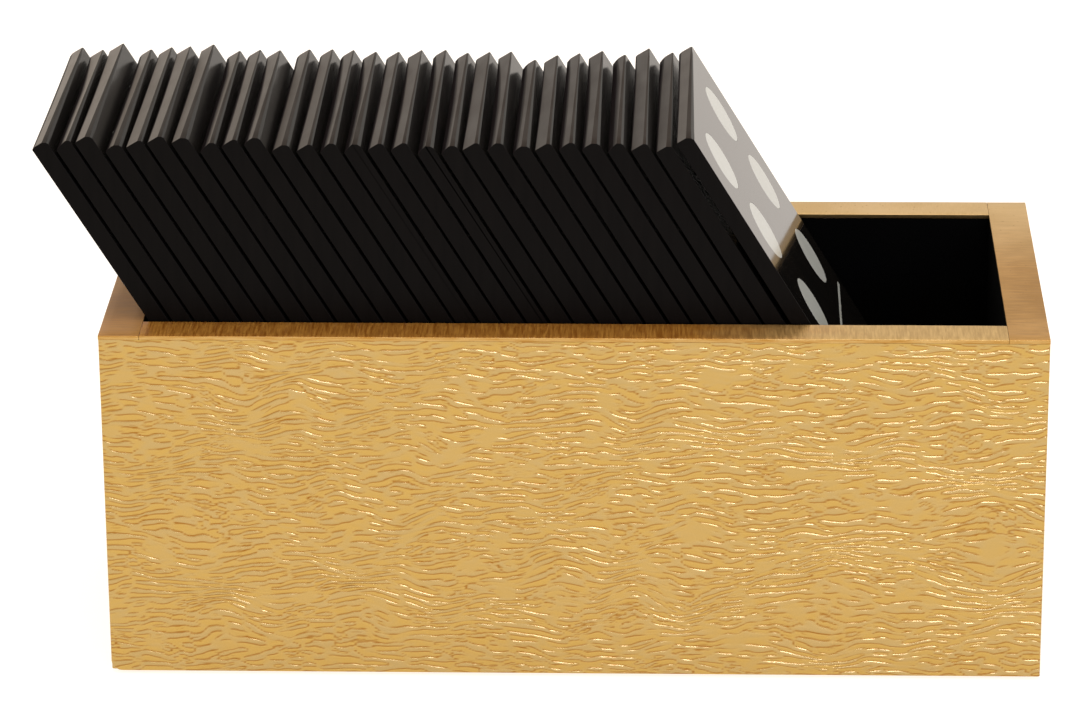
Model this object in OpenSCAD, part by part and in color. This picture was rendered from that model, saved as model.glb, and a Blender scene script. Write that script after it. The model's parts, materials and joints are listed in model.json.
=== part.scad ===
/* A double-six domino set standing in its open brass-clad box.
   The row of tiles leans to the left and its feet run along the lined floor.
   Origin: centre of the underside of the felt. +X to the free bay, -Y to the front, +Z up. */

/* [Box] */
// Width of the box over the brass
box_w = 254; // [240:1:280]
// Depth of the box over the brass
box_d = 112; // [106:1:130]
// Height of the box from the underside of the felt to the rim
box_h = 99; // [80:1:120]
// Thickness of the wooden wall panels
wall_t = 9; // [7:0.5:9.5]
// Thickness of the wooden floor
floor_t = 10; // [8:0.5:14]

/* [Brass, lining and felt] */
// Thickness of the embossed brass sheets
sheet_t = 1; // [0.6:0.1:1.2]
// Thickness of the plain brass strips on the rim
rim_t = 1.2; // [0.8:0.1:2]
// Thickness of the black lining
lining_t = 1; // [0.5:0.1:1.2]
// Thickness of the felt under the box
felt_t = 1; // [0.5:0.1:2]
// How far the felt stays in from the brass
felt_inset = 3; // [1:0.5:6]

/* [Tiles] */
// Length of the longest tile
tile_l = 161; // [140:1:165]
// Usual width of a tile
tile_w = 80; // [70:0.5:82]
// Usual thickness of a tile
tile_t = 4.8; // [4:0.1:4.9]
// Lean of the row from upright, towards -X
lean = 31.3; // [25:0.1:31.3]
// Distance between the feet of neighbouring tiles
row_pitch = 6.38; // [6.3:0.01:6.4]
// Extra distance between the foot of the end tile and its neighbour
last_gap = 0.5; // [0:0.1:0.8]
// Gap between the foot of the end tile and the lined right wall
end_gap = 1.1; // [0.8:0.1:3]
// Gap between the tiles and the lined front wall
front_gap = 0.8; // [0.4:0.1:2]
// Gap under the feet of the tiles
foot_gap = 0.3; // [0.2:0.1:0.5]

/* [Inlays] */
// Radius of a pip
pip_r = 8.6; // [6:0.1:9]
// Distance from one row of pips to the next along the tile
pip_step_l = 24.3; // [20:0.1:25]
// Distance from the middle of the tile to a side column of pips
pip_step_w = 20.3; // [18:0.1:22]
// How far the middle row of a six is laid towards the end of the tile
middle_row_shift = 1.2; // [0:0.1:2]
// Thickness of the pips and of the divider
inlay_t = 0.9; // [0.6:0.1:1.5]
// Glue line around and under an inlay
glue = 0.05; // [0.03:0.01:0.1]
// Width of the divider
divider_w = 1.2; // [0.8:0.1:2]
// How far the divider stops short of each edge of the tile
divider_inset = 4; // [3:0.5:8]

/* [Hidden] */
$fn = 64;

// Numbers on the upper and the lower half of each tile, left to right
PAIRS = [for (low = [6:-1:0]) for (high = [low:6]) [high, low]];
function tile_name(i) = str("tile_", PAIRS[i][0], "_", PAIRS[i][1]);
LAST = len(PAIRS) - 1;
SIDES = ["front", "back", "left", "right"];

// Hand cutting: how much shorter and how much wider than usual each tile came out, left to right
cut_short = [2.5, 2, 0.5, 3, 2, 0.5, 0.5, 2.5, 1.5, 0.5, 3, 3, 2.5, 2.5,
             2.5, 2.5, 3, 3, 2.5, 2, 3, 2.5, 2, 2, 2, 2.5, 3, 0];
cut_wide = [3.5, 0, 1.5, 3.5, 2.5, -1, 1.5, 0.5, -1, -4, 3.5, 4, 1.5, 0,
            0.5, 1.5, 3.5, 1, 0, -0.5, -5.5, -2.5, -2, 0, -3, 4, 1.5, -0.5];
thickness_spread = 0.3;
foot_chamfer = 0.3;

function long_of(i) = tile_l - cut_short[i];
function wide_of(i) = tile_w + cut_wide[i];
function thick_of(i) = tile_t - thickness_spread * (1 + sin(137 * i)) / 2;
// The top edges are broken with a file by eye, on the plain side and on the pip side
function plain_chamfer(i) = 0.5 + 0.25 * sin(97 * i);
function pip_chamfer(i) = 0.6 + 0.3 * sin(61 * i + 40);

// Stack of layers in a wall, from the outside in
wood_out = sheet_t;
wood_in = sheet_t + wall_t;
wall_full = sheet_t + wall_t + lining_t;
wall_top = box_h - rim_t;
floor_top = felt_t + floor_t + lining_t;
inner_x = box_w / 2 - wall_full;
inner_y = box_d / 2 - wall_full;

// Feet of the pip faces
foot_x_last = inner_x - end_gap;
function foot_x(i) = foot_x_last - (LAST - i) * row_pitch - (i < LAST ? last_gap : 0);
function foot_z(i) = floor_top + foot_gap + (thick_of(i) - foot_chamfer) * sin(lean);
tile_near_y = -inner_y + front_gap;

// Where the pips of a half tile sit, as steps [across, along] from its middle
function spots(n) = concat(
    n % 2 == 1 ? [[0, 0]] : [],
    n >= 2 ? [[-1, -1], [1, 1]] : [],
    n >= 4 ? [[1, -1], [-1, 1]] : [],
    n == 6 ? [[-1, 0], [1, 0]] : []);
function row_shift(s) = s.x != 0 && s.y == 0 ? middle_row_shift : 0;

// A box given by its lowest and highest corners
module block(low, high) {
    translate(low)
        cube(high - low);
}

// One upright slab of a wall layer: from `out` to `in` behind the brass face of a side.
// The front and back slabs pass the ends of the side slabs unless `sides_pass` is true.
module wall_layer(side, out, in, low_z, high_z, sides_pass = false) {
    long_side = side == "front" || side == "back";
    trim = long_side == sides_pass ? in : out;
    half_x = long_side ? box_w / 2 - trim : box_w / 2;
    half_y = long_side ? box_d / 2 : box_d / 2 - trim;
    turn = (side == "back" || side == "right") ? 1 : 0;
    mirror([long_side ? 0 : turn, long_side ? turn : 0, 0])
        if (long_side)
            block([-half_x, -half_y + out, low_z], [half_x, -half_y + in, high_z]);
        else
            block([-half_x + out, -half_y, low_z], [-half_x + in, half_y, high_z]);
}

module panel(side) {
    color("burlywood")
        wall_layer(side, wood_out, wood_in, felt_t, wall_top);
}

module brass_sheet(side) {
    color("goldenrod")
        wall_layer(side, 0, sheet_t, felt_t, wall_top);
}

// The two end strips run the full depth, and the long strips butt between them
module rim_strip(side) {
    color("darkgoldenrod")
        wall_layer(side, 0, wall_full, wall_top, box_h, sides_pass = true);
}

module lining(side) {
    color("black")
        wall_layer(side, wood_in, wall_full, felt_t + floor_t, wall_top);
}

module panel_floor() {
    half = [box_w / 2 - wood_in, box_d / 2 - wood_in];
    color("burlywood")
        block([-half.x, -half.y, felt_t], [half.x, half.y, felt_t + floor_t]);
}

module lining_floor() {
    color("black")
        block([-inner_x, -inner_y, felt_t + floor_t], [inner_x, inner_y, floor_top]);
}

module base_felt() {
    half = [box_w / 2 - felt_inset, box_d / 2 - felt_inset];
    color("dimgray")
        block([-half.x, -half.y, 0], [half.x, half.y, felt_t]);
}

// Places a tile's own frame: pip face on x = 0, near edge on y = 0, foot on z = 0, length along +z
module in_row(i) {
    translate([foot_x(i), tile_near_y, foot_z(i)])
        rotate([0, -lean, 0])
            children();
}

// Side outline of a tile in its own x and z, with the edges of both ends broken
module tile_outline(i) {
    t = thick_of(i);
    l = long_of(i);
    f = foot_chamfer;
    p = plain_chamfer(i);
    q = pip_chamfer(i);
    polygon([[-t + f, 0], [-f, 0], [0, f], [0, l - q], [-q, l], [-t + p, l], [-t, l - p], [-t, f]]);
}

module slab(i) {
    translate([0, wide_of(i), 0])
        rotate([90, 0, 0])
            linear_extrude(wide_of(i))
                tile_outline(i);
}

// Discs in the pip face; `fit` grows them into the pockets they are glued in
module pips(i, fit = 0) {
    for (half = [0, 1])
        for (s = spots(PAIRS[i][half]))
            translate([-inlay_t - fit + glue,
                       wide_of(i) / 2 + s.x * pip_step_w,
                       long_of(i) / 2 + (half == 0 ? 1 : -1) * (long_of(i) / 4 + row_shift(s))
                           + s.y * pip_step_l])
                rotate([0, 90, 0])
                    cylinder(r = pip_r + fit, h = inlay_t - glue + (fit > 0 ? 1 : 0));
}

// Thin bar with round ends across the middle of the pip face
module divider(i, fit = 0) {
    r = divider_w / 2 + fit;
    x = -inlay_t - fit + glue;
    h = inlay_t - glue + (fit > 0 ? 1 : 0);
    ends = [divider_inset + divider_w / 2, wide_of(i) - divider_inset - divider_w / 2];
    translate([0, 0, long_of(i) / 2]) {
        block([x, ends[0], -r], [x + h, ends[1], r]);
        for (y = ends)
            translate([x, y, 0])
                rotate([0, 90, 0])
                    cylinder(r = r, h = h);
    }
}

module horn_tile(i) {
    color("black")
        in_row(i)
            difference() {
                slab(i);
                pips(i, glue);
                divider(i, glue);
            }
}

// Every tile but the last carries its inlays as separate solids in its own node
module tile(i) {
    horn_tile(i);
    if (i < LAST)
        color("ivory")
            in_row(i) {
                pips(i);
                divider(i);
            }
}

module pips_6_0() {
    color("ivory")
        in_row(LAST)
            pips(LAST);
}

module divider_6_0() {
    color("ivory")
        in_row(LAST)
            divider(LAST);
}

panel_floor();
lining_floor();
base_felt();
for (s = SIDES) panel(s);
for (s = SIDES) brass_sheet(s);
for (s = SIDES) rim_strip(s);
for (s = SIDES) lining(s);
for (i = [0:LAST]) tile(i);
pips_6_0();
divider_6_0();
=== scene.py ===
"""Looks of a domino set standing in its brass-clad box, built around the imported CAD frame.

Lengths are metres in the CAD frame. Sizes written in millimetres are multiplied by MM.
"""

import json
import math

import bmesh
import bpy
import numpy as np
from mathutils import Matrix, Vector


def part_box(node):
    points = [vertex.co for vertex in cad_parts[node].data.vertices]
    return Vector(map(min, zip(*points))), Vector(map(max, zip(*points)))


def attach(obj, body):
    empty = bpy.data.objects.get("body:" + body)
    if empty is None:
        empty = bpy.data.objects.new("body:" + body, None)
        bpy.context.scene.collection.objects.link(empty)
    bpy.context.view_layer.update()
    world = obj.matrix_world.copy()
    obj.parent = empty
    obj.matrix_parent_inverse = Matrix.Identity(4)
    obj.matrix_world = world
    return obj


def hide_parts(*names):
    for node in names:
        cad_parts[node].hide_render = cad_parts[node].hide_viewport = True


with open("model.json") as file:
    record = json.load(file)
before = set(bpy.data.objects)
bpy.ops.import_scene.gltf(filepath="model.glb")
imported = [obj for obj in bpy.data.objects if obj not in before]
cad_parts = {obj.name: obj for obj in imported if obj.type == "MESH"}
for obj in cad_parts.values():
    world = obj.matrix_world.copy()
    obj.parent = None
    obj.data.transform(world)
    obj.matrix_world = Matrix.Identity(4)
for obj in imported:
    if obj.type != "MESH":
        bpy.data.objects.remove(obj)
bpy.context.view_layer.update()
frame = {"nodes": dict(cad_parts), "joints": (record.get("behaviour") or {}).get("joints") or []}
box_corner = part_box("brass_front")[0]

MM = 0.001
SIDES = ("front", "back", "left", "right")

# ---------------------------------------------------------------- driving values

# Camera: where it stands, how it is turned and its lens on a 36 mm wide sensor
CAMERA_AT_MM = (33.5, -1272.0, 558.3)
CAMERA_DOWN_DEG = 20.94
CAMERA_LEFT_DEG = 1.99
CAMERA_ROLL_DEG = -0.42
CAMERA_LENS_MM = 162.75
SENSOR_MM = 36.0

# Studio: the floor's own warm light, and the front and the back of the room
FLOOR_HALF_M = 4.0
FLOOR_GLOW = 0.90
FLOOR_TINT = (1.0, 0.92, 0.84)
ROOM_FRONT = (1.18, 1.06, 0.93)
ROOM_BACK = (0.82, 0.76, 0.69)

# Softboxes: a low cool strip that draws the glints on the brass, and a big one overhead
KEY_AT_M = (0.34, -1.31, 0.41)
KEY_SIZE_M = (0.84, 0.12)
KEY_RADIANCE = 11.0
KEY_TINT = (0.74, 0.88, 1.45)
OVERHEAD_AT_M = (0.0, 0.1, 1.9)
OVERHEAD_SIZE_M = (1.6, 1.6)
OVERHEAD_RADIANCE = 1.5
LIGHTS_FACE_M = (0, 0, 0.06)

# Embossed brass: thin grooves around leaf-shaped ridges, like a bark grain
SHEET_SEED = 11
GRID_ALONG_MM = 0.8
GRID_UP_MM = 0.16
COARSER = {"front": 1.0, "back": 1.5, "left": 1.2, "right": 1.2}
NOISE_STEP_MM = 0.25
NOISE_MARGIN_MM = 12.0
LEAF_PITCH_MM = 2.8
LEAF_RUN_MM = 6.5
SCRATCH_PITCH_MM = 1.7
SCRATCH_RUN_MM = 4.5
SCRATCH_HALF_WIDTH_MM = 0.17
DRIFT_MM = 1.2
DRIFT_STARTS_IN_MM = 10.0
RELIEF_STARTS_IN_MM = 1.0
GROOVE_DEPTH_MM = 0.16
GROOVE_HALF_WIDTH_MM = 0.22
LEAF_DEPTH_MM = 0.12
BUCKLE_MM = 0.05
LEAST_SHEET_MM = 0.15
SHEET_EDGE_RADIUS_MM = 0.7
SHEET_TOP_EDGE_MM = 0.35
DENTED_CORNER_MM = 2.6
DENT_REACH_MM = 8.0

# Rim strips: the front one has painted brown shade of the tiles up to one place along it, and is
# bright from another
TILE_SHADE_TO_MM = 45.0
BRIGHT_FROM_MM = 92.0
BACK_TONE_AT_MM = 52.0
TILE_SHADE_DRIFT_MM = 30.0
RIM_EDGE_MM = 0.1
RIM_WOBBLE_MM = 0.04
CLOTH_EDGE_MM = 0.4
CLOTH_WOBBLE_MM = 0.25
FELT_EDGE_MM = 0.35

# Tiles: how much of the upper plain-side edge is filed off, left to right
FILED_NEAR_MM = (0.9, 2.4, 0.5, 1.3, 0.2, 0.5, 0.3, 3.0, 1.0, 1.4, 0.7, 0.5, 2.0, 2.2,
                 0.8, 1.0, 2.2, 1.9, 0.2, 1.8, 1.5, 0.2, 1.3, 1.0, 2.4, 0.2, 0.4, 0.2)
FILED_FAR_MM = (0.9, 0.3, 0.2, 1.0, 0.5, 0.3, 0.2, 0.8, 0.8, 0.3, 1.0, 0.7, 1.0, 0.5,
                0.7, 0.3, 1.0, 1.0, 0.5, 0.3, 1.6, 0.4, 1.2, 0.5, 1.7, 0.5, 1.6, 0.8)
FILED_GROWTH = 1.4
FILED_BULGE_MM = 0.4
FILED_WIDEST_MM = 3.2
FILED_SLOPE = 0.32
# Painted shade on the filed wedge: how far it blends into the end face, and how far down from the
# top it reaches
FILED_SHADE_BLEND = 0.4
FILED_END_MM = 3.0

# Tiles: the rounded pip-side edge of the upper end, the other edges, and how much painted light
# the ends get
ROUND_MM = 1.3
ROUND_SPREAD_MM = 0.4
ROUND_TAPER = 0.75
FOOT_CHAMFER_MM = 0.3
TILE_EDGE_MM = 0.12
LOFT_STATIONS = 13
END_TILE = "tile_6_0"
# Painted light on the sawn ends: it fades out over this many tiles from the left, and the end tile
# gets more
PAINTED_LIGHT_TILES = 26
END_TILE_PAINTED_LIGHT = 0.2

# Inlays
PIP_RADIUS_MM = 8.6
PIP_STEP_ALONG_MM = 24.3
PIP_STEP_ACROSS_MM = 20.3
MIDDLE_ROW_SHIFT_MM = 1.2
INLAY_DEPTH_MM = 0.9
GLUE_LINE_MM = 0.05
DIVIDER_WIDTH_MM = 1.2
DIVIDER_INSET_MM = 4.0
INLAY_EDGE_MM = 0.06
PIP_CORNERS = 56
DIVIDER_END_CORNERS = 8


# ---------------------------------------------------------------- node helpers

class Shader:
    """A short way to write a Principled material's node tree."""

    def __init__(self, name):
        self.material = bpy.data.materials.new(name)
        self.material.use_nodes = True
        self.tree = self.material.node_tree
        self.main = self.tree.nodes["Principled BSDF"]

    def node(self, kind, **inputs):
        made = self.tree.nodes.new(kind)
        for key, value in inputs.items():
            self.set(made.inputs[key.replace("_", " ")], value)
        return made

    def set(self, socket, value):
        if isinstance(value, bpy.types.NodeSocket):
            self.tree.links.new(value, socket)
        elif isinstance(value, tuple) and len(value) == 3 and socket.type == "RGBA":
            socket.default_value = (*value, 1.0)
        else:
            socket.default_value = value

    def principled(self, **inputs):
        for key, value in inputs.items():
            self.set(self.main.inputs[key.replace("_", " ")], value)

    def coords(self, scale=(1, 1, 1), turn=(0, 0, 0)):
        """The piece's own coordinates in millimetres, then scaled and turned."""
        where = self.node("ShaderNodeTexCoord").outputs["Object"]
        mapping = self.node("ShaderNodeMapping", Vector=where)
        mapping.inputs["Scale"].default_value = [s / MM for s in scale]
        mapping.inputs["Rotation"].default_value = turn
        return mapping.outputs["Vector"]

    def noise(self, where, scale=1.0, detail=2.0, rough=0.5, distortion=0.0):
        made = self.node("ShaderNodeTexNoise", Vector=where, Scale=scale, Detail=detail,
                         Roughness=rough, Distortion=distortion)
        return made.outputs["Fac"]

    def ramp(self, value, *stops):
        """A colour ramp; each stop is (position, colour or grey)."""
        made = self.node("ShaderNodeValToRGB", Fac=value)
        elements = made.color_ramp.elements
        while len(elements) < len(stops):
            elements.new(0.5)
        for element, (position, colour) in zip(elements, stops):
            element.position = position
            if not isinstance(colour, tuple):
                colour = (colour, colour, colour)
            element.color = (*colour, 1.0)
        return made.outputs["Color"]

    def mix(self, share, a, b):
        made = self.node("ShaderNodeMix")
        made.data_type = "RGBA"
        self.set(made.inputs[0], share)
        self.set(made.inputs[6], a)
        self.set(made.inputs[7], b)
        return made.outputs[2]

    def math(self, what, a, b=0.0):
        made = self.node("ShaderNodeMath")
        made.operation = what
        self.set(made.inputs[0], a)
        self.set(made.inputs[1], b)
        return made.outputs[0]

    def bump(self, height, depth_mm, strength=1.0, under=None):
        made = self.node("ShaderNodeBump", Height=height, Strength=strength,
                         Distance=depth_mm * MM)
        if under is not None:
            self.set(made.inputs["Normal"], under)
        return made.outputs["Normal"]

    def attribute(self, name):
        made = self.node("ShaderNodeAttribute")
        made.attribute_name = name
        return made.outputs["Fac"]


# ---------------------------------------------------------------- materials

def embossed_brass():
    """Bright brass with painted light and shade: a redder tint in the hollows between the ridges
    stands in for light bouncing between the brass walls, and the brown in the cores of the grooves
    is painted shade.
    """
    s = Shader("embossed_brass")
    groove_shade_mask = s.attribute("groove")
    leaf = s.attribute("leaf")
    tone = s.noise(s.coords((0.02, 0.02, 0.03)), detail=3)
    fine = s.noise(s.coords((0.4, 0.4, 4.0)), detail=3)
    ground = s.mix(tone, (0.435, 0.308, 0.118), (0.490, 0.348, 0.145))
    # Painted light: the redder tint in the hollows stands in for light bouncing between the brass
    # walls
    painted_hollow_tint = s.mix(leaf, (0.505, 0.326, 0.085), ground)
    # Painted shade: brown in the cores of the grooves
    colour = s.mix(s.ramp(groove_shade_mask, (0.35, 0.0), (0.90, 1.0)), painted_hollow_tint, (0.30, 0.120, 0.010))
    s.principled(Base_Color=colour, Metallic=1.0, Coat_Weight=0.12, Coat_Roughness=0.14,
                 Roughness=s.ramp(fine, (0.3, 0.19), (0.7, 0.25)),
                 Normal=s.bump(fine, 0.006))
    return s.material


def rim_brass(name, brush, dull, bright, metallic=1.0, at_back=None):
    """Smooth brass, finely brushed; `brush` scales the grain along each axis.

    The colour may change towards the back to a second pair, `at_back`.
    """
    s = Shader(name)
    fine = s.noise(s.coords(brush), detail=4, rough=0.6)
    blotch = s.noise(s.coords((0.05, 0.05, 0.05)), detail=3)
    dark_specks = s.noise(s.coords((0.9, 0.9, 0.9)), detail=1)
    both = s.math("ADD", s.math("MULTIPLY", blotch, 0.5), s.math("MULTIPLY", fine, 0.5))
    share = s.ramp(both, (0.40, 0.0), (0.60, 1.0))
    flat = s.mix(share, dull, bright)
    if at_back is not None:
        depth = s.node("ShaderNodeSeparateXYZ", Vector=s.coords()).outputs["Y"]
        far = s.node("ShaderNodeMapRange", Value=depth, From_Min=0.0, From_Max=BACK_TONE_AT_MM)
        flat = s.mix(far.outputs["Result"], flat, s.mix(share, *at_back))
    # Small dark brown specks at random
    colour = s.mix(s.ramp(dark_specks, (0.70, 0.0), (0.78, 0.8)), flat, (0.36, 0.18, 0.04))
    s.principled(Base_Color=colour, Metallic=metallic,
                 Roughness=s.ramp(fine, (0.3, 0.32), (0.7, 0.44)),
                 Normal=s.bump(fine, 0.04))
    return s.material


def tile_shaded_rim_brass():
    """The front strip: painted brown shade and dark reflection of the tiles along the part beside
    them, bright beside the free bay.
    """
    s = Shader("rim_brass_front")
    fine = s.noise(s.coords((2.2, 0.16, 0.5)), detail=3, rough=0.6)
    where = s.node("ShaderNodeSeparateXYZ", Vector=s.coords()).outputs["X"]
    drift = s.math("MULTIPLY", s.noise(s.coords((0.05, 0.2, 0.05)), detail=2), TILE_SHADE_DRIFT_MM)
    # Painted shade: brown, less metallic brass where the tiles stand beside the strip
    painted_shading = s.node("ShaderNodeMapRange", Value=s.math("ADD", where, drift),
                  From_Min=TILE_SHADE_TO_MM, From_Max=BRIGHT_FROM_MM, To_Min=1.0, To_Max=0.0)
    painted_shading = painted_shading.outputs["Result"]
    streak = s.ramp(fine, (0.36, 0.0), (0.64, 1.0))
    brown = s.mix(streak, (0.300, 0.103, 0.009), (0.510, 0.235, 0.038))
    gold = s.mix(streak, (0.53, 0.34, 0.12), (0.68, 0.47, 0.20))
    s.principled(Base_Color=s.mix(painted_shading, gold, brown),
                 Metallic=s.math("SUBTRACT", 1.0, s.math("MULTIPLY", painted_shading, 0.55)),
                 Roughness=s.ramp(fine, (0.3, 0.38), (0.7, 0.50)), Normal=s.bump(fine, 0.04))
    return s.material


def edge_brass():
    """The outer edge of the rim strips, rubbed into the colour of the sheet below."""
    s = Shader("rim_brass_edge")
    rub = s.noise(s.coords((0.12, 0.12, 1.5)), detail=4, rough=0.6)
    s.principled(Base_Color=s.ramp(rub, (0.35, (0.40, 0.21, 0.045)), (0.65, (0.53, 0.35, 0.13))),
                 Metallic=1.0, Roughness=s.ramp(rub, (0.3, 0.20), (0.7, 0.30)),
                 Normal=s.bump(rub, 0.03))
    return s.material


def inner_edge_brass():
    """The inner edge of the rim strips, dark brown to nearly black, beside the black lining."""
    s = Shader("rim_brass_inner")
    rub = s.noise(s.coords((0.4, 0.4, 1.5)), detail=4, rough=0.6)
    s.principled(Base_Color=s.mix(rub, (0.02, 0.012, 0.004), (0.20, 0.12, 0.03)), Metallic=0.7,
                 Roughness=0.5, Normal=s.bump(rub, 0.03))
    return s.material


def horn_face(name, rough, ior):
    """Polished black horn with a faint smear."""
    s = Shader(name)
    smear = s.noise(s.coords((0.08, 0.08, 0.03)), detail=3)
    fine = s.noise(s.coords((0.6, 0.6, 0.2)), detail=3)
    s.principled(Base_Color=s.mix(smear, (0.003, 0.003, 0.003), (0.007, 0.006, 0.005)),
                 Roughness=s.ramp(smear, (0.3, rough), (0.8, rough + 0.04)), IOR=ior,
                 Normal=s.bump(fine, 0.0006))
    return s.material


def horn_end(name="horn_end", tone=1.0):
    """Sawn ends, lightened by painted light on the tiles to the left and on the end tile, and
    darkened and dulled by painted shade towards the filed wedge.
    """
    s = Shader(name)
    lines = s.noise(s.coords((3.2, 0.10, 3.2)), detail=3, rough=0.6)
    patches = s.noise(s.coords((0.1, 0.06, 0.1)), detail=2)
    painted_shading = s.attribute("painted_shading")
    filed_shade = s.attribute("filed_shade")
    # Painted light: the ends of the tiles to the left are lighter
    dark = s.mix(painted_shading, (0.014, 0.010, 0.007), tuple(tone * c for c in (0.095, 0.080, 0.066)))
    light = s.mix(painted_shading, (0.028, 0.020, 0.016), tuple(tone * c for c in (0.160, 0.140, 0.122)))
    plain = s.mix(lines, dark, light)
    rough = s.ramp(patches, (0.3, 0.38), (0.8, 0.50))
    # Painted shade: darker and duller towards the filed wedge
    s.principled(Base_Color=s.mix(filed_shade, plain, (0.007, 0.005, 0.006)),
                 Roughness=s.math("ADD", rough, s.math("MULTIPLY", filed_shade, 0.5)), IOR=1.38,
                 Specular_IOR_Level=0.42 * tone, Normal=s.bump(lines, 0.03))
    return s.material


def horn_chamfer():
    """The steep part of the filed edge: near-black, with hardly any reflection, as painted shade
    in the gap to the next tile.
    """
    s = Shader("horn_chamfer")
    lines = s.noise(s.coords((2.0, 0.10, 2.0)), detail=3, rough=0.6)
    # Painted shade: near-black, and a low IOR keeps reflections off it
    s.principled(Base_Color=s.mix(lines, (0.007, 0.005, 0.006), (0.016, 0.013, 0.013)),
                 Roughness=s.ramp(lines, (0.3, 0.40), (0.8, 0.50)), IOR=1.03,
                 Normal=s.bump(lines, 0.02))
    return s.material


def horn_side():
    """The near and far edges of a tile, scraped along its length."""
    s = Shader("horn_side")
    lines = s.noise(s.coords((0.5, 0.5, 0.06), (0, math.radians(-31), 0)), detail=3)
    s.principled(Base_Color=s.mix(lines, (0.0016, 0.0013, 0.0011), (0.0037, 0.0030, 0.0025)),
                 Roughness=0.45, Specular_IOR_Level=0.045, Normal=s.bump(lines, 0.03))
    return s.material


def bone():
    """Polished pale bone, slightly mottled."""
    s = Shader("inlay_bone")
    mottle = s.noise(s.coords((0.25, 0.25, 0.25)), detail=3)
    s.principled(Base_Color=s.mix(mottle, (0.365, 0.385, 0.365), (0.410, 0.430, 0.410)),
                 Roughness=s.ramp(mottle, (0.3, 0.10), (0.8, 0.16)), IOR=1.16,
                 Normal=s.bump(mottle, 0.001))
    return s.material


def black_nap():
    """Black velvet that gives back almost no light."""
    s = Shader("black_lining")
    nap = s.noise(s.coords((2.5, 2.5, 2.5)), detail=3)
    s.principled(Base_Color=s.mix(nap, (0.0008, 0.0008, 0.0008), (0.002, 0.002, 0.002)),
                 Roughness=1.0, Specular_IOR_Level=0.02, Normal=s.bump(nap, 0.2))
    return s.material


def felt():
    """Pressed black felt with a fibrous surface."""
    s = Shader("base_felt")
    fibres = s.noise(s.coords((1.2, 1.2, 1.2)), detail=5, rough=0.7, distortion=1.5)
    s.principled(Base_Color=s.mix(fibres, (0.012, 0.012, 0.013), (0.035, 0.034, 0.035)),
                 Roughness=0.95, Specular_IOR_Level=0.1, Sheen_Weight=0.3,
                 Normal=s.bump(fibres, 0.3))
    return s.material


def carcass_wood():
    """Plain softwood with its grain along the box."""
    s = Shader("carcass_wood")
    where = s.coords((0.03, 0.9, 0.9))
    rings = s.noise(where, detail=5, rough=0.6, distortion=0.6)
    s.principled(Base_Color=s.ramp(rings, (0.3, (0.30, 0.17, 0.08)), (0.5, (0.46, 0.29, 0.15)),
                                   (0.7, (0.56, 0.38, 0.21))),
                 Roughness=0.6, Normal=s.bump(rings, 0.1))
    return s.material


# ---------------------------------------------------------------- mesh helpers

def new_object(name, vertices, faces, materials, smooth=True):
    """A mesh object in the scene, its vertices given in metres."""
    mesh = bpy.data.meshes.new(name)
    mesh.from_pydata([tuple(v) for v in vertices], [], faces)
    for material in materials:
        mesh.materials.append(material)
    made = bpy.data.objects.new(name, mesh)
    bpy.context.scene.collection.objects.link(made)
    if smooth:
        mesh.shade_smooth()
    return made


def apply_modifiers(piece):
    """Bakes the modifier stack of a piece into its mesh."""
    ready = piece.evaluated_get(bpy.context.evaluated_depsgraph_get())
    mesh = bpy.data.meshes.new_from_object(ready)
    piece.modifiers.clear()
    old = piece.data
    piece.data = mesh
    bpy.data.meshes.remove(old)


def bevel(piece, width_mm, segments=2, angle_deg=25):
    """Adds a modifier that rounds every edge sharper than the angle."""
    made = piece.modifiers.new("bevel", "BEVEL")
    made.width = width_mm * MM
    made.segments = segments
    made.limit_method = "ANGLE"
    made.angle_limit = math.radians(angle_deg)


def flat_faces(piece, small_mm2=1.5, round_materials=(3, 4)):
    """Shades the big faces flat, and the bevels and the filed edges between them smooth."""
    for polygon in piece.data.polygons:
        small = polygon.area < small_mm2 * MM**2
        polygon.use_smooth = small or polygon.material_index in round_materials


def sharp_shading(piece, angle_deg=28):
    """Shades a piece smooth but for the edges sharper than the angle."""
    piece.data.shade_smooth()
    piece.data.set_sharp_from_angle(angle=math.radians(angle_deg))


# ---------------------------------------------------------------- embossed sheets

def wavy_noise(random, size, period, run, spread):
    """Waves of about `period` mm across the grain and `run` mm along it, of unit spread."""
    white = random.normal(size=size)
    along = np.fft.fftfreq(size[0], NOISE_STEP_MM)[:, None]
    across = np.fft.rfftfreq(size[1], NOISE_STEP_MM)[None, :]
    pass_band = np.exp(-((across - 1 / period) * period / spread) ** 2 - (along * run) ** 2)
    waves = np.fft.irfft2(np.fft.rfft2(white) * pass_band, s=size)
    return waves / waves.std()


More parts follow.
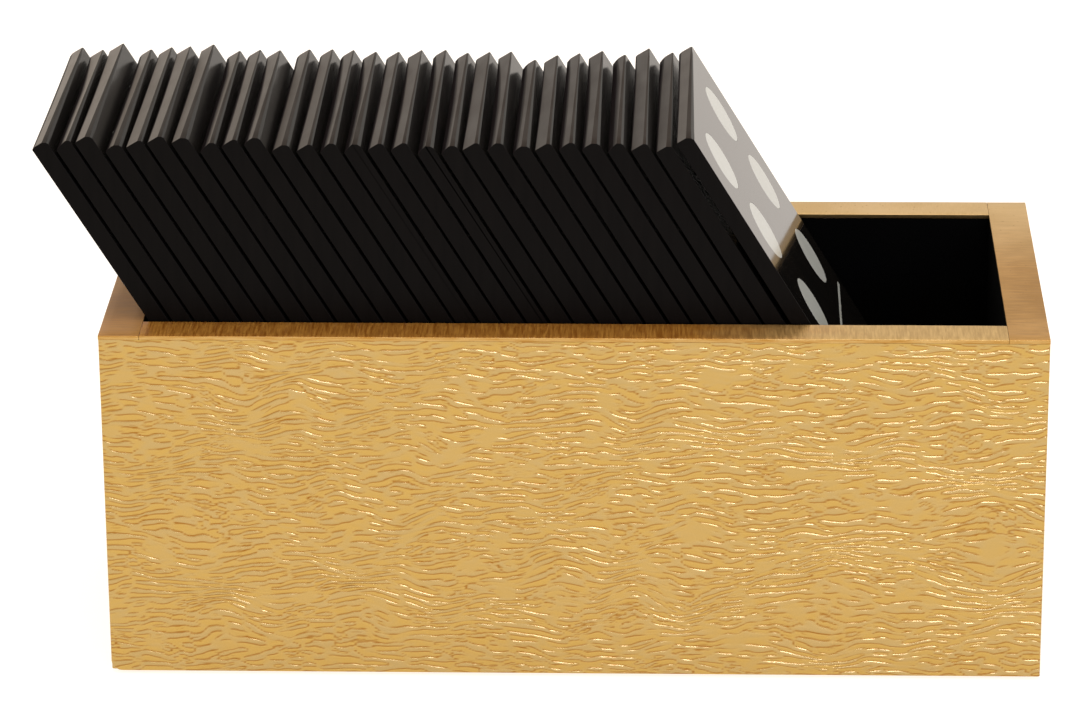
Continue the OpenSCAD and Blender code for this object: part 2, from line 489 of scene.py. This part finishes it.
def bark_relief(width, height, seed):
    """The bark grain on a fine even grid: thin grooves, leaf-shaped ridges and slow drift.

    The grooves run where a wavy field changes sign, so they close around long
    leaf-shaped ridges. They fade out in calm patches and crowd into small knots.
    """
    random = np.random.default_rng(seed)
    size = tuple(int((length + 2 * NOISE_MARGIN_MM) / NOISE_STEP_MM) for length in (width, height))
    grain = wavy_noise(random, size, LEAF_PITCH_MM, LEAF_RUN_MM, 0.65)
    knots = wavy_noise(random, size, LEAF_PITCH_MM * 0.8, LEAF_RUN_MM * 0.45, 0.7)
    knotty = np.clip((wavy_noise(random, size, 16, 10, 0.8) - 1.0) / 0.8, 0, 1)
    calm = np.clip((wavy_noise(random, size, 14, 10, 0.8) + 2.6) / 1.4, 0.1, 1)
    field = grain * (1 - knotty) + knots * knotty
    slopes = np.gradient(field, NOISE_STEP_MM)
    slope = np.hypot(slopes[0], slopes[1])
    distance = np.abs(field) / (slope + 0.15)
    groove = np.exp(-(distance / GROOVE_HALF_WIDTH_MM) ** 2)
    groove *= np.clip((slope - 0.2) / 1.4, 0, 1) * calm
    scratches = wavy_noise(random, size, SCRATCH_PITCH_MM, SCRATCH_RUN_MM, 0.6)
    where = np.clip(wavy_noise(random, size, 9, 7, 0.8) * 0.7 + 0.25, 0, 1) * calm
    slopes = np.gradient(scratches, NOISE_STEP_MM)
    slope = np.hypot(slopes[0], slopes[1])
    scratch = np.exp(-(np.abs(scratches) / (slope + 0.3) / SCRATCH_HALF_WIDTH_MM) ** 2)
    groove = np.maximum(groove, 0.75 * scratch * where * np.clip((slope - 0.8) / 2.0, 0, 1))
    leaf = 0.5 + 0.5 * np.tanh(field * 1.1) * calm
    drift = wavy_noise(random, size, 40, 24, 0.8) * DRIFT_MM
    return groove, leaf, drift


def sample(table, along, up):
    """Values of a fine grid at places given in millimetres from the sheet's low corner."""
    i = (along + NOISE_MARGIN_MM) / NOISE_STEP_MM
    k = (up + NOISE_MARGIN_MM) / NOISE_STEP_MM
    i = np.clip(i, 0, table.shape[0] - 2)
    k = np.clip(k, 0, table.shape[1] - 2)
    i0, k0 = i.astype(int), k.astype(int)
    right, above = i - i0, k - k0
    low = table[i0, k0] * (1 - right) + table[i0 + 1, k0] * right
    high = table[i0, k0 + 1] * (1 - right) + table[i0 + 1, k0 + 1] * right
    return low * (1 - above) + high * above


def grid_steps(length, step, edge):
    """Positions from 0 to length: fine steps in the rounded edges, even ones between."""
    fine = np.array([0.0, 0.15, 0.4, 0.7]) * edge / 0.7
    inner = length - 2 * edge
    middle = edge + np.linspace(0, inner, int(inner / step) + 1)
    return np.concatenate([fine[:-1], middle, (length - fine[:-1])[::-1]])


def embossed_sheet(side, seed, material):
    """One brass sheet: an embossed outer skin with rolled edges, closed by a flat back.

    The rows of the skin's grid follow the drift of the grain, so that the thin
    grooves stay crisp on a grid that is coarse along them.
    """
    low, high = (np.array(v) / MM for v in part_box("brass_" + side))
    flat_axis = 1 if side in ("front", "back") else 0
    run_axis = 1 - flat_axis
    outward = -1 if side in ("front", "left") else 1
    width, height = high[run_axis] - low[run_axis], high[2] - low[2]
    along = grid_steps(width, GRID_ALONG_MM * COARSER[side], SHEET_EDGE_RADIUS_MM)
    up = grid_steps(height, GRID_UP_MM * COARSER[side], SHEET_TOP_EDGE_MM)
    s, z = np.meshgrid(along, up, indexing="ij")
    groove, leaf, drift = bark_relief(width, height, seed)
    from_rim = np.minimum(z, height - z)
    moved = sample(drift, s, z) * np.clip(from_rim / DRIFT_STARTS_IN_MM, 0, 1)
    groove, leaf = sample(groove, s, z), sample(leaf, s, z)
    fade = 0.2 + 0.8 * np.clip(from_rim / RELIEF_STARTS_IN_MM, 0, 1)
    sink = (GROOVE_DEPTH_MM * groove + LEAF_DEPTH_MM * (1 - leaf)) * fade
    sink += 0.02 + BUCKLE_MM * np.sin(s / 41) ** 2 * np.sin(z / 23) ** 2
    roll = np.clip(SHEET_EDGE_RADIUS_MM - np.minimum(s, width - s), 0, None)
    sink += SHEET_EDGE_RADIUS_MM - np.sqrt(SHEET_EDGE_RADIUS_MM**2 - roll**2)
    sink = np.minimum(sink, high[flat_axis] - low[flat_axis] - LEAST_SHEET_MM)
    z = z + moved
    if side == "front":
        below = np.clip(DENTED_CORNER_MM - z, 0, DENTED_CORNER_MM)
        arc = DENTED_CORNER_MM - np.sqrt(DENTED_CORNER_MM**2 - below**2)
        s = s + arc * np.clip(1 - s / DENT_REACH_MM, 0, 1)
    points = np.zeros((*s.shape, 3))
    points[..., run_axis] = low[run_axis] + s
    points[..., 2] = low[2] + z
    face = low[flat_axis] if outward < 0 else high[flat_axis]
    points[..., flat_axis] = face - outward * sink

    rows, cols = s.shape
    index = np.arange(rows * cols).reshape(rows, cols)
    quads = np.stack([index[:-1, :-1], index[1:, :-1], index[1:, 1:], index[:-1, 1:]], -1)
    rim = np.concatenate([index[:, 0], index[-1, 1:], index[-2::-1, -1], index[0, -2:0:-1]])
    back = points.reshape(-1, 3)[rim].copy()
    back[:, flat_axis] = high[flat_axis] if outward < 0 else low[flat_axis]
    first = rows * cols
    behind = first + np.arange(rim.size)
    ahead = np.roll(np.arange(rim.size), -1)
    skirt = np.stack([rim, behind, behind[ahead], rim[ahead]], -1)
    faces = quads.reshape(-1, 4).tolist() + skirt.tolist() + [behind.tolist()[::-1]]
    if side in ("back", "left"):
        faces = [f[::-1] for f in faces]
    vertices = np.concatenate([points.reshape(-1, 3), back]) * MM
    piece = new_object("sheet_" + side, vertices, faces, [material])
    flat = np.zeros(rim.size)
    for name, values in (("groove", groove), ("leaf", leaf)):
        layer = piece.data.attributes.new(name, "FLOAT", "POINT")
        layer.data.foreach_set("value", np.concatenate([values.ravel(), flat]))
    sharp_shading(piece, 60)
    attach(piece, "box")
    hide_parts("brass_" + side)
    return piece


# ---------------------------------------------------------------- boards and strips

def board(name, node, material, edge_mm, wobble_mm=0.0, cuts=(24, 3), seed=0,
          edges=()):
    """A plate in a CAD slab's box: bevelled edges and a slightly uneven surface.

    Its upright faces may have materials of their own: first those on the outside of
    the box, then those on the inside.
    """
    low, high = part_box(node)
    size = high - low
    bm = bmesh.new()
    bmesh.ops.create_cube(bm, size=1.0)
    for vertex in bm.verts:
        for axis in range(3):
            vertex.co[axis] = low[axis] + size[axis] * (vertex.co[axis] + 0.5)
    order = sorted(range(3), key=lambda a: -size[a])
    for axis, count in ((order[0], cuts[0]), (order[1], cuts[1])):
        long_edges = [e for e in bm.edges
                      if abs((e.verts[1].co - e.verts[0].co)[axis]) > size[axis] * 0.9]
        bmesh.ops.subdivide_edges(bm, edges=long_edges, cuts=count, use_grid_fill=True)
    random = np.random.default_rng(seed)
    for vertex in bm.verts:
        inward = random.uniform(0, wobble_mm * MM)
        for axis in range(3):
            middle = (low[axis] + high[axis]) / 2
            if abs(vertex.co[axis] - middle) > size[axis] * 0.499:
                vertex.co[axis] -= math.copysign(inward, vertex.co[axis] - middle)
    mesh = bpy.data.meshes.new(name)
    bm.to_mesh(mesh)
    bm.free()
    mesh.materials.append(material)
    piece = bpy.data.objects.new(name, mesh)
    bpy.context.scene.collection.objects.link(piece)
    bevel(piece, edge_mm, segments=3, angle_deg=50)
    apply_modifiers(piece)
    sharp_shading(piece, 40)
    if edges:
        for edge_material in edges:
            piece.data.materials.append(edge_material)
        for polygon in piece.data.polygons:
            inside = min(abs(box_corner[axis]) - abs(polygon.center[axis]) for axis in (0, 1))
            if abs(polygon.normal.z) < 0.5:
                polygon.material_index = 1 if inside < 0.5 * MM else 2
    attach(piece, "box")
    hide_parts(node)
    return piece


# ---------------------------------------------------------------- tiles

class Tile:
    """A CAD tile's size and its own frame: pip face on x = 0, near edge y = 0, foot z = 0."""

    def __init__(self, joint):
        self.name = joint["child"]
        self.halves = [int(n) for n in self.name.split("_")[1:]]
        along = Vector(joint["axis"]).normalized()
        across = Vector((0, 1, 0))
        out = across.cross(along)
        turn = np.array([out, across, along])
        node = frame["nodes"][self.name]
        points = np.array([v.co for v in node.data.vertices]) @ turn.T
        low, high = points.min(0), points.max(0)
        self.thick, self.wide, self.long = (high - low) / MM
        foot = turn.T @ np.array([high[0], low[1], low[2]])
        self.place = Matrix.Translation(Vector(foot)) @ Matrix(turn.T.tolist()).to_4x4()

    def at(self, x, y, z):
        """A point of the tile's own frame, in millimetres, as a place in the scene."""
        return self.place @ (Vector((x, y, z)) * MM)


def spots(number):
    """Steps across and along from the middle of a half tile to each of its pips."""
    found = [(0, 0)] if number % 2 else []
    if number >= 2:
        found += [(-1, -1), (1, 1)]
    if number >= 4:
        found += [(1, -1), (-1, 1)]
    if number == 6:
        found += [(-1, 0), (1, 0)]
    return found


def pip_centres(tile):
    """Places of a tile's pips on its face, in millimetres across and along it."""
    for half, number in enumerate(tile.halves):
        outward = 1 if half == 0 else -1
        for across, along in spots(number):
            shift = MIDDLE_ROW_SHIFT_MM if across and not along else 0.0
            middle = tile.long / 2 + outward * (tile.long / 4 + shift)
            yield tile.wide / 2 + across * PIP_STEP_ACROSS_MM, middle + along * PIP_STEP_ALONG_MM


def plug(tile, outline, low_x, high_x):
    """Vertices and faces of a flat plug: an outline in the pip face's plane, given a depth."""
    count = len(outline)
    vertices = [tile.at(x, y, z) for x in (low_x, high_x) for y, z in outline]
    faces = [list(range(count))[::-1], list(range(count, 2 * count))]
    for n in range(count):
        m = (n + 1) % count
        faces.append([n, m, count + m, count + n])
    return vertices, faces


def circle(y, z, radius):
    """Outline of a pip."""
    return [(y + radius * math.cos(2 * math.pi * n / PIP_CORNERS),
             z + radius * math.sin(2 * math.pi * n / PIP_CORNERS)) for n in range(PIP_CORNERS)]


def stadium(tile, half_width):
    """Outline of the divider: a bar across the tile with round ends."""
    middle = tile.long / 2
    ends = (DIVIDER_INSET_MM + DIVIDER_WIDTH_MM / 2,
            tile.wide - DIVIDER_INSET_MM - DIVIDER_WIDTH_MM / 2)
    points = []
    for end, start in zip(ends, (math.pi / 2, -math.pi / 2)):
        for n in range(DIVIDER_END_CORNERS + 1):
            angle = start + math.pi * n / DIVIDER_END_CORNERS
            points.append((end + half_width * math.cos(angle),
                           middle + half_width * math.sin(angle)))
    return points


def joined(parts):
    """Several plugs as one list of vertices and one of faces."""
    vertices, faces = [], []
    for some_vertices, some_faces in parts:
        first = len(vertices)
        vertices += some_vertices
        faces += [[first + i for i in face] for face in some_faces]
    return vertices, faces


def inlays(tile, grown=0.0, proud=0.0):
    """The pips and the divider of a tile, as two lists of plugs."""
    low = -INLAY_DEPTH_MM - grown
    pips = [plug(tile, circle(y, z, PIP_RADIUS_MM + grown), low, proud)
            for y, z in pip_centres(tile)]
    bar = [plug(tile, stadium(tile, DIVIDER_WIDTH_MM / 2 + grown), low, proud)]
    return pips, bar


def filed_width(number, t):
    """How wide the filed wedge is, from the near edge (t = 0) to the far edge (t = 1)."""
    width = FILED_NEAR_MM[number] + (FILED_FAR_MM[number] - FILED_NEAR_MM[number]) * t**3
    width = FILED_GROWTH * width + FILED_BULGE_MM * math.sin(math.pi * t)
    return min(width, FILED_WIDEST_MM)


def slab_ring(tile, number, t):
    """Corners of the slab's side view at one station: the foot, then up the pip side."""
    foot, thick, top = FOOT_CHAMFER_MM, tile.thick, tile.long
    p = filed_width(number, t)
    q = (ROUND_MM + ROUND_SPREAD_MM * math.sin(61 * number + t)) * (1 - ROUND_TAPER * t)
    drop = p * FILED_SLOPE
    return [(-thick + foot, 0), (-foot, 0), (0, foot), (0, top - q),
            (-q * 0.3, top - q * 0.45), (-q, top),
            (-thick + p, top), (-thick + p * 0.6, top - drop * 0.3),
            (-thick, top - drop), (-thick, foot)]


def paint_end_shading(piece, tile, number):
    """Writes the painted light on the slab's upper end, and the painted shade where it is filed,
    to its vertices.
    """
    # Painted light: stronger for the tiles to the left, and more for the end tile
    share = max(0.0, 1 - number / PAINTED_LIGHT_TILES) ** 2
    if tile.name == END_TILE:
        share += END_TILE_PAINTED_LIGHT
    home = tile.place.inverted()
    filed_shade = []
    for vertex in piece.data.vertices:
        x, y, z = (home @ vertex.co) / MM
        p = filed_width(number, min(max(y / tile.wide, 0.0), 1.0))
        # Painted shade: strongest deep in the filed wedge, beside the next tile
        into = (p - tile.thick - x) / (FILED_SHADE_BLEND * p)
        filed_shade.append(min(max(into, 0.0), 1.0) if z > tile.long - FILED_END_MM else 0.0)
    for name, values in (("painted_shading", [share] * len(filed_shade)), ("filed_shade", filed_shade)):
        layer = piece.data.attributes.new(name, "FLOAT", "POINT")
        layer.data.foreach_set("value", values)


def slab(tile, number, materials):
    """The horn slab, lofted from its near to its far edge so that the filed edges can taper.

    The upper plain-side edge is filed off by a different amount near and far, and the
    pip-side edge is rounded. `kind_of_side` is the material of each side of the ring.
    """
    kind_of_side = (1, 0, 0, 0, 4, 1, 1, 3, 0, 0)
    sides = len(kind_of_side)
    vertices, faces, kinds = [], [], []
    for n in range(LOFT_STATIONS):
        t = n / (LOFT_STATIONS - 1)
        vertices += [tile.at(x, tile.wide * t, z) for x, z in slab_ring(tile, number, t)]
    for n in range(LOFT_STATIONS - 1):
        for k in range(sides):
            m = (k + 1) % sides
            a, b = n * sides, (n + 1) * sides
            faces.append([a + k, a + m, b + m, b + k])
            kinds.append(kind_of_side[k])
    faces.append(list(range(sides))[::-1])
    faces.append([(LOFT_STATIONS - 1) * sides + n for n in range(sides)])
    kinds += [2, 2]
    piece = new_object(tile.name + "_slab", vertices, faces, materials, smooth=False)
    for polygon, kind in zip(piece.data.polygons, kinds):
        polygon.material_index = kind
    bevel(piece, TILE_EDGE_MM, segments=2, angle_deg=20)
    apply_modifiers(piece)
    pips, bar = inlays(tile, grown=GLUE_LINE_MM, proud=1.0)
    cutter = new_object("cutter", *joined(pips + bar), [], smooth=False)
    cut = piece.modifiers.new("pockets", "BOOLEAN")
    cut.operation = "DIFFERENCE"
    cut.solver = "EXACT"
    cut.object = cutter
    apply_modifiers(piece)
    bpy.data.objects.remove(cutter)
    flat_faces(piece)
    paint_end_shading(piece, tile, number)
    return piece


def tile_pieces(joint, number, horn, inlay):
    """A tile's slab, pips and divider, which ride on the joint's child."""
    tile = Tile(joint)
    made = [slab(tile, number, horn)]
    pips, bar = inlays(tile)
    for word, parts in (("pips", pips), ("divider", bar)):
        if not parts:
            continue
        piece = new_object(f"{tile.name}_{word}", *joined(parts), [inlay], smooth=False)
        bevel(piece, INLAY_EDGE_MM, segments=2, angle_deg=50)
        apply_modifiers(piece)
        flat_faces(piece)
        made.append(piece)
    for piece in made:
        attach(piece, tile.name)
    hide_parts(tile.name)
    if tile.name == END_TILE:
        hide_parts("pips_6_0")
        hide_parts("divider_6_0")


# ---------------------------------------------------------------- build the object

brass = embossed_brass()
for number, side in enumerate(SIDES):
    embossed_sheet(side, SHEET_SEED + number, brass)

bright_pair = ((0.68, 0.46, 0.19), (0.77, 0.545, 0.27))
rims = {
    "front": tile_shaded_rim_brass(),
    "back": rim_brass("rim_brass_back", (4.0, 0.25, 1.0), *bright_pair),
    # The left strip's darker, less metallic brown is partly the end strips' own darker tone,
    # partly painted shade of the leaning tiles
    "left": rim_brass("rim_brass_left", (0.12, 1.3, 1.0), (0.37, 0.172, 0.040),
                      (0.49, 0.245, 0.065), metallic=0.3),
    "right": rim_brass("rim_brass_right", (0.12, 1.3, 1.0), (0.42, 0.215, 0.042),
                       (0.60, 0.340, 0.105), at_back=bright_pair),
}
strip_edges = (edge_brass(), inner_edge_brass())
nap = black_nap()
for number, side in enumerate(SIDES):
    board("strip_" + side, "rim_" + side, rims[side], RIM_EDGE_MM, RIM_WOBBLE_MM,
          seed=number, edges=strip_edges)
    board("cloth_" + side, "lining_" + side, nap, CLOTH_EDGE_MM,
          CLOTH_WOBBLE_MM, seed=20 + number)
board("cloth_floor", "lining_floor", nap, CLOTH_EDGE_MM, CLOTH_WOBBLE_MM,
      cuts=(30, 12), seed=30)
board("felt_pad", "base_felt", felt(), FELT_EDGE_MM, cuts=(30, 12), seed=31)

wood = carcass_wood()
for name in ("panel_floor", *("panel_" + side for side in SIDES)):
    slots = frame["nodes"][name].data.materials
    slots.clear()
    slots.append(wood)

row_face = horn_face("horn_face_row", 0.20, 1.17)
end_face = horn_face("horn_face_end", 0.05, 1.20)
# The last is a darker copy of the sawn-end material: painted shade on the rounded pip-side edge
horn = [horn_end(), horn_side(), horn_chamfer(), horn_end("horn_round_shaded", 0.17)]
inlay = bone()
for number, joint in enumerate(frame["joints"]):
    face = end_face if joint["child"] == END_TILE else row_face
    tile_pieces(joint, number, [face, *horn], inlay)


# ---------------------------------------------------------------- studio

def pale_floor():
    """A white sheet that is softly lit from below, as on a lit photo table."""
    s = Shader("floor_paper")
    grain = s.noise(s.coords((0.2, 0.2, 0.2)), detail=3)
    s.principled(Base_Color=s.mix(grain, (0.34, 0.34, 0.34), (0.36, 0.36, 0.36)),
                 Roughness=0.8, Specular_IOR_Level=0.1, Emission_Color=FLOOR_TINT,
                 Emission_Strength=FLOOR_GLOW)
    half = FLOOR_HALF_M
    corners = [(-half, -half, 0), (half, -half, 0), (half, half, 0), (-half, half, 0)]
    floor = new_object("floor", corners, [[0, 1, 2, 3]], [s.material], smooth=False)


def area_light(name, at, size, radiance, colour=(1, 1, 1)):
    """A softbox of a given size and brightness that faces the object."""
    wide, high = size
    light = bpy.data.lights.new(name, "AREA")
    light.shape = "RECTANGLE"
    light.color = colour
    light.size = wide
    light.size_y = high
    light.energy = radiance * math.pi * wide * high
    made = bpy.data.objects.new(name, light)
    made.location = at
    away = Vector(LIGHTS_FACE_M) - Vector(at)
    made.rotation_euler = away.to_track_quat("-Z", "Y").to_euler()
    bpy.context.scene.collection.objects.link(made)


def room():
    """A pale room: nearly neutral in front of the object and warmer behind it."""
    world = bpy.data.worlds.new("studio")
    world.use_nodes = True
    tree = world.node_tree
    where = tree.nodes.new("ShaderNodeTexCoord")
    split = tree.nodes.new("ShaderNodeSeparateXYZ")
    ramp = tree.nodes.new("ShaderNodeValToRGB")
    tree.links.new(where.outputs["Generated"], split.inputs["Vector"])
    tree.links.new(split.outputs["Y"], ramp.inputs["Fac"])
    tree.links.new(ramp.outputs["Color"], tree.nodes["Background"].inputs["Color"])
    stops = ((0.0, ROOM_FRONT), (0.8, ROOM_BACK))
    for element, (position, colour) in zip(ramp.color_ramp.elements, stops):
        element.position = position
        element.color = (*colour, 1.0)
    bpy.context.scene.world = world


def studio():
    """The floor, the room and the two softboxes."""
    pale_floor()
    room()
    area_light("key", KEY_AT_M, KEY_SIZE_M, KEY_RADIANCE, KEY_TINT)
    area_light("overhead", OVERHEAD_AT_M, OVERHEAD_SIZE_M, OVERHEAD_RADIANCE)
    bpy.context.scene.view_settings.view_transform = "Standard"


def photo_camera():
    """The camera at the driving place and angles, without shift or depth of field."""
    down = math.radians(CAMERA_DOWN_DEG)
    left = math.radians(CAMERA_LEFT_DEG)
    roll = math.radians(CAMERA_ROLL_DEG)
    ahead = Vector((-math.sin(left) * math.cos(down), math.cos(left) * math.cos(down),
                    -math.sin(down)))
    right = Vector((math.cos(left), math.sin(left), 0.0))
    up = right.cross(ahead)
    right, up = (right * math.cos(roll) + up * math.sin(roll),
                 up * math.cos(roll) - right * math.sin(roll))
    data = bpy.data.cameras.new("camera")
    data.sensor_width = SENSOR_MM
    data.lens = CAMERA_LENS_MM
    data.clip_start = 0.05
    data.clip_end = 50
    camera = bpy.data.objects.new("camera", data)
    turn = Matrix((right, up, -ahead)).transposed().to_4x4()
    camera.matrix_world = Matrix.Translation(Vector(CAMERA_AT_MM) * MM) @ turn
    bpy.context.scene.collection.objects.link(camera)
    bpy.context.scene.camera = camera


studio()
photo_camera()
